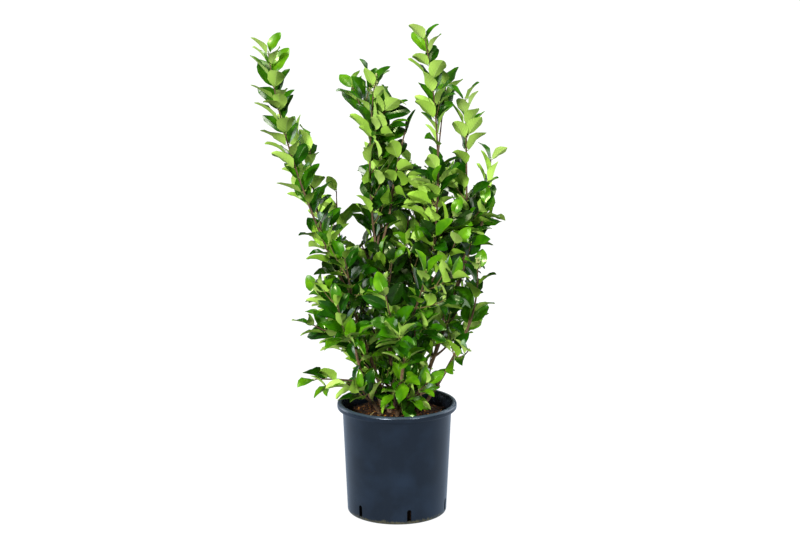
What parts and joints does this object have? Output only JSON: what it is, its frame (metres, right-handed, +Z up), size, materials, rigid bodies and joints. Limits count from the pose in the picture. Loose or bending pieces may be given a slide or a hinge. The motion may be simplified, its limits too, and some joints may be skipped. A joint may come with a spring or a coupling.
{
  "type": "potted japanese privet shrub",
  "caption": "Evergreen privet shrub of leaning canes with upright leafy shoots, standing in a round dark nursery pot filled with bark compost.",
  "frame": {"origin": "middle of the pot's flat underside", "axes": "+Z up along the pot's axis, -Y towards the side the picture shows, +X to the picture's right"},
  "size_m": [0.531, 0.4751, 1.0258],
  "materials": {
    "pot_plastic": "moulded dark blue-grey plastic with a satin skin",
    "bark_compost": "moist shredded bark compost",
    "bark": "smooth grey-tan bark with pale pores",
    "foliage": "glossy dark green leaves with matte pale undersides"
  },
  "bodies": {
    "root": {"pot": "pot_plastic", "compost": "bark_compost", "cane_left": "bark", "cane_mid": "bark", "cane_centre": "bark", "cane_right": "bark", "cane_low_right": "bark", "cane_front": "bark", "cane_front_left": "bark", "cane_back_left": "bark", "cane_back": "bark", "cane_back_right": "bark", "bough_left_inner": "bark", "bough_mid_right": "bark", "bough_right_outer": "bark", "bough_back_mid": "bark", "shoot_left_outer": "foliage", "shoot_left_inner": "foliage", "shoot_left_front": "foliage", "shoot_mid_tall": "foliage", "shoot_mid_left": "foliage", "shoot_mid_right": "foliage", "shoot_centre_tall": "foliage", "shoot_centre_right": "foliage", "shoot_right_tall": "foliage", "shoot_right_outer": "foliage", "shoot_low_right": "foliage", "shoot_front_right": "foliage", "shoot_front_mid": "foliage", "shoot_front_left": "foliage", "shoot_back_left": "foliage", "shoot_back_mid": "foliage", "shoot_back": "foliage", "shoot_back_right": "foliage", "spray_left_low": "foliage", "spray_left_mid": "foliage", "spray_left_rim": "foliage", "spray_right_low": "foliage", "spray_right_rim": "foliage", "spray_right_mid": "foliage", "spray_right_back": "foliage", "spray_front_low": "foliage", "spray_front_rim": "foliage", "spray_back_low": "foliage", "spray_back_rim": "foliage", "spray_back_side": "foliage", "spray_body_left": "foliage", "spray_body_mid": "foliage", "spray_body_back": "foliage", "spray_body_front": "foliage", "spray_body_centre": "foliage", "spray_body_right": "foliage", "spray_right_front": "foliage", "spray_right_inner": "foliage", "spray_back_inner": "foliage", "spray_foot_left": "foliage", "spray_foot_right": "foliage", "spray_foot_front": "foliage", "spray_foot_back": "foliage"}
  },
  "joints": []
}
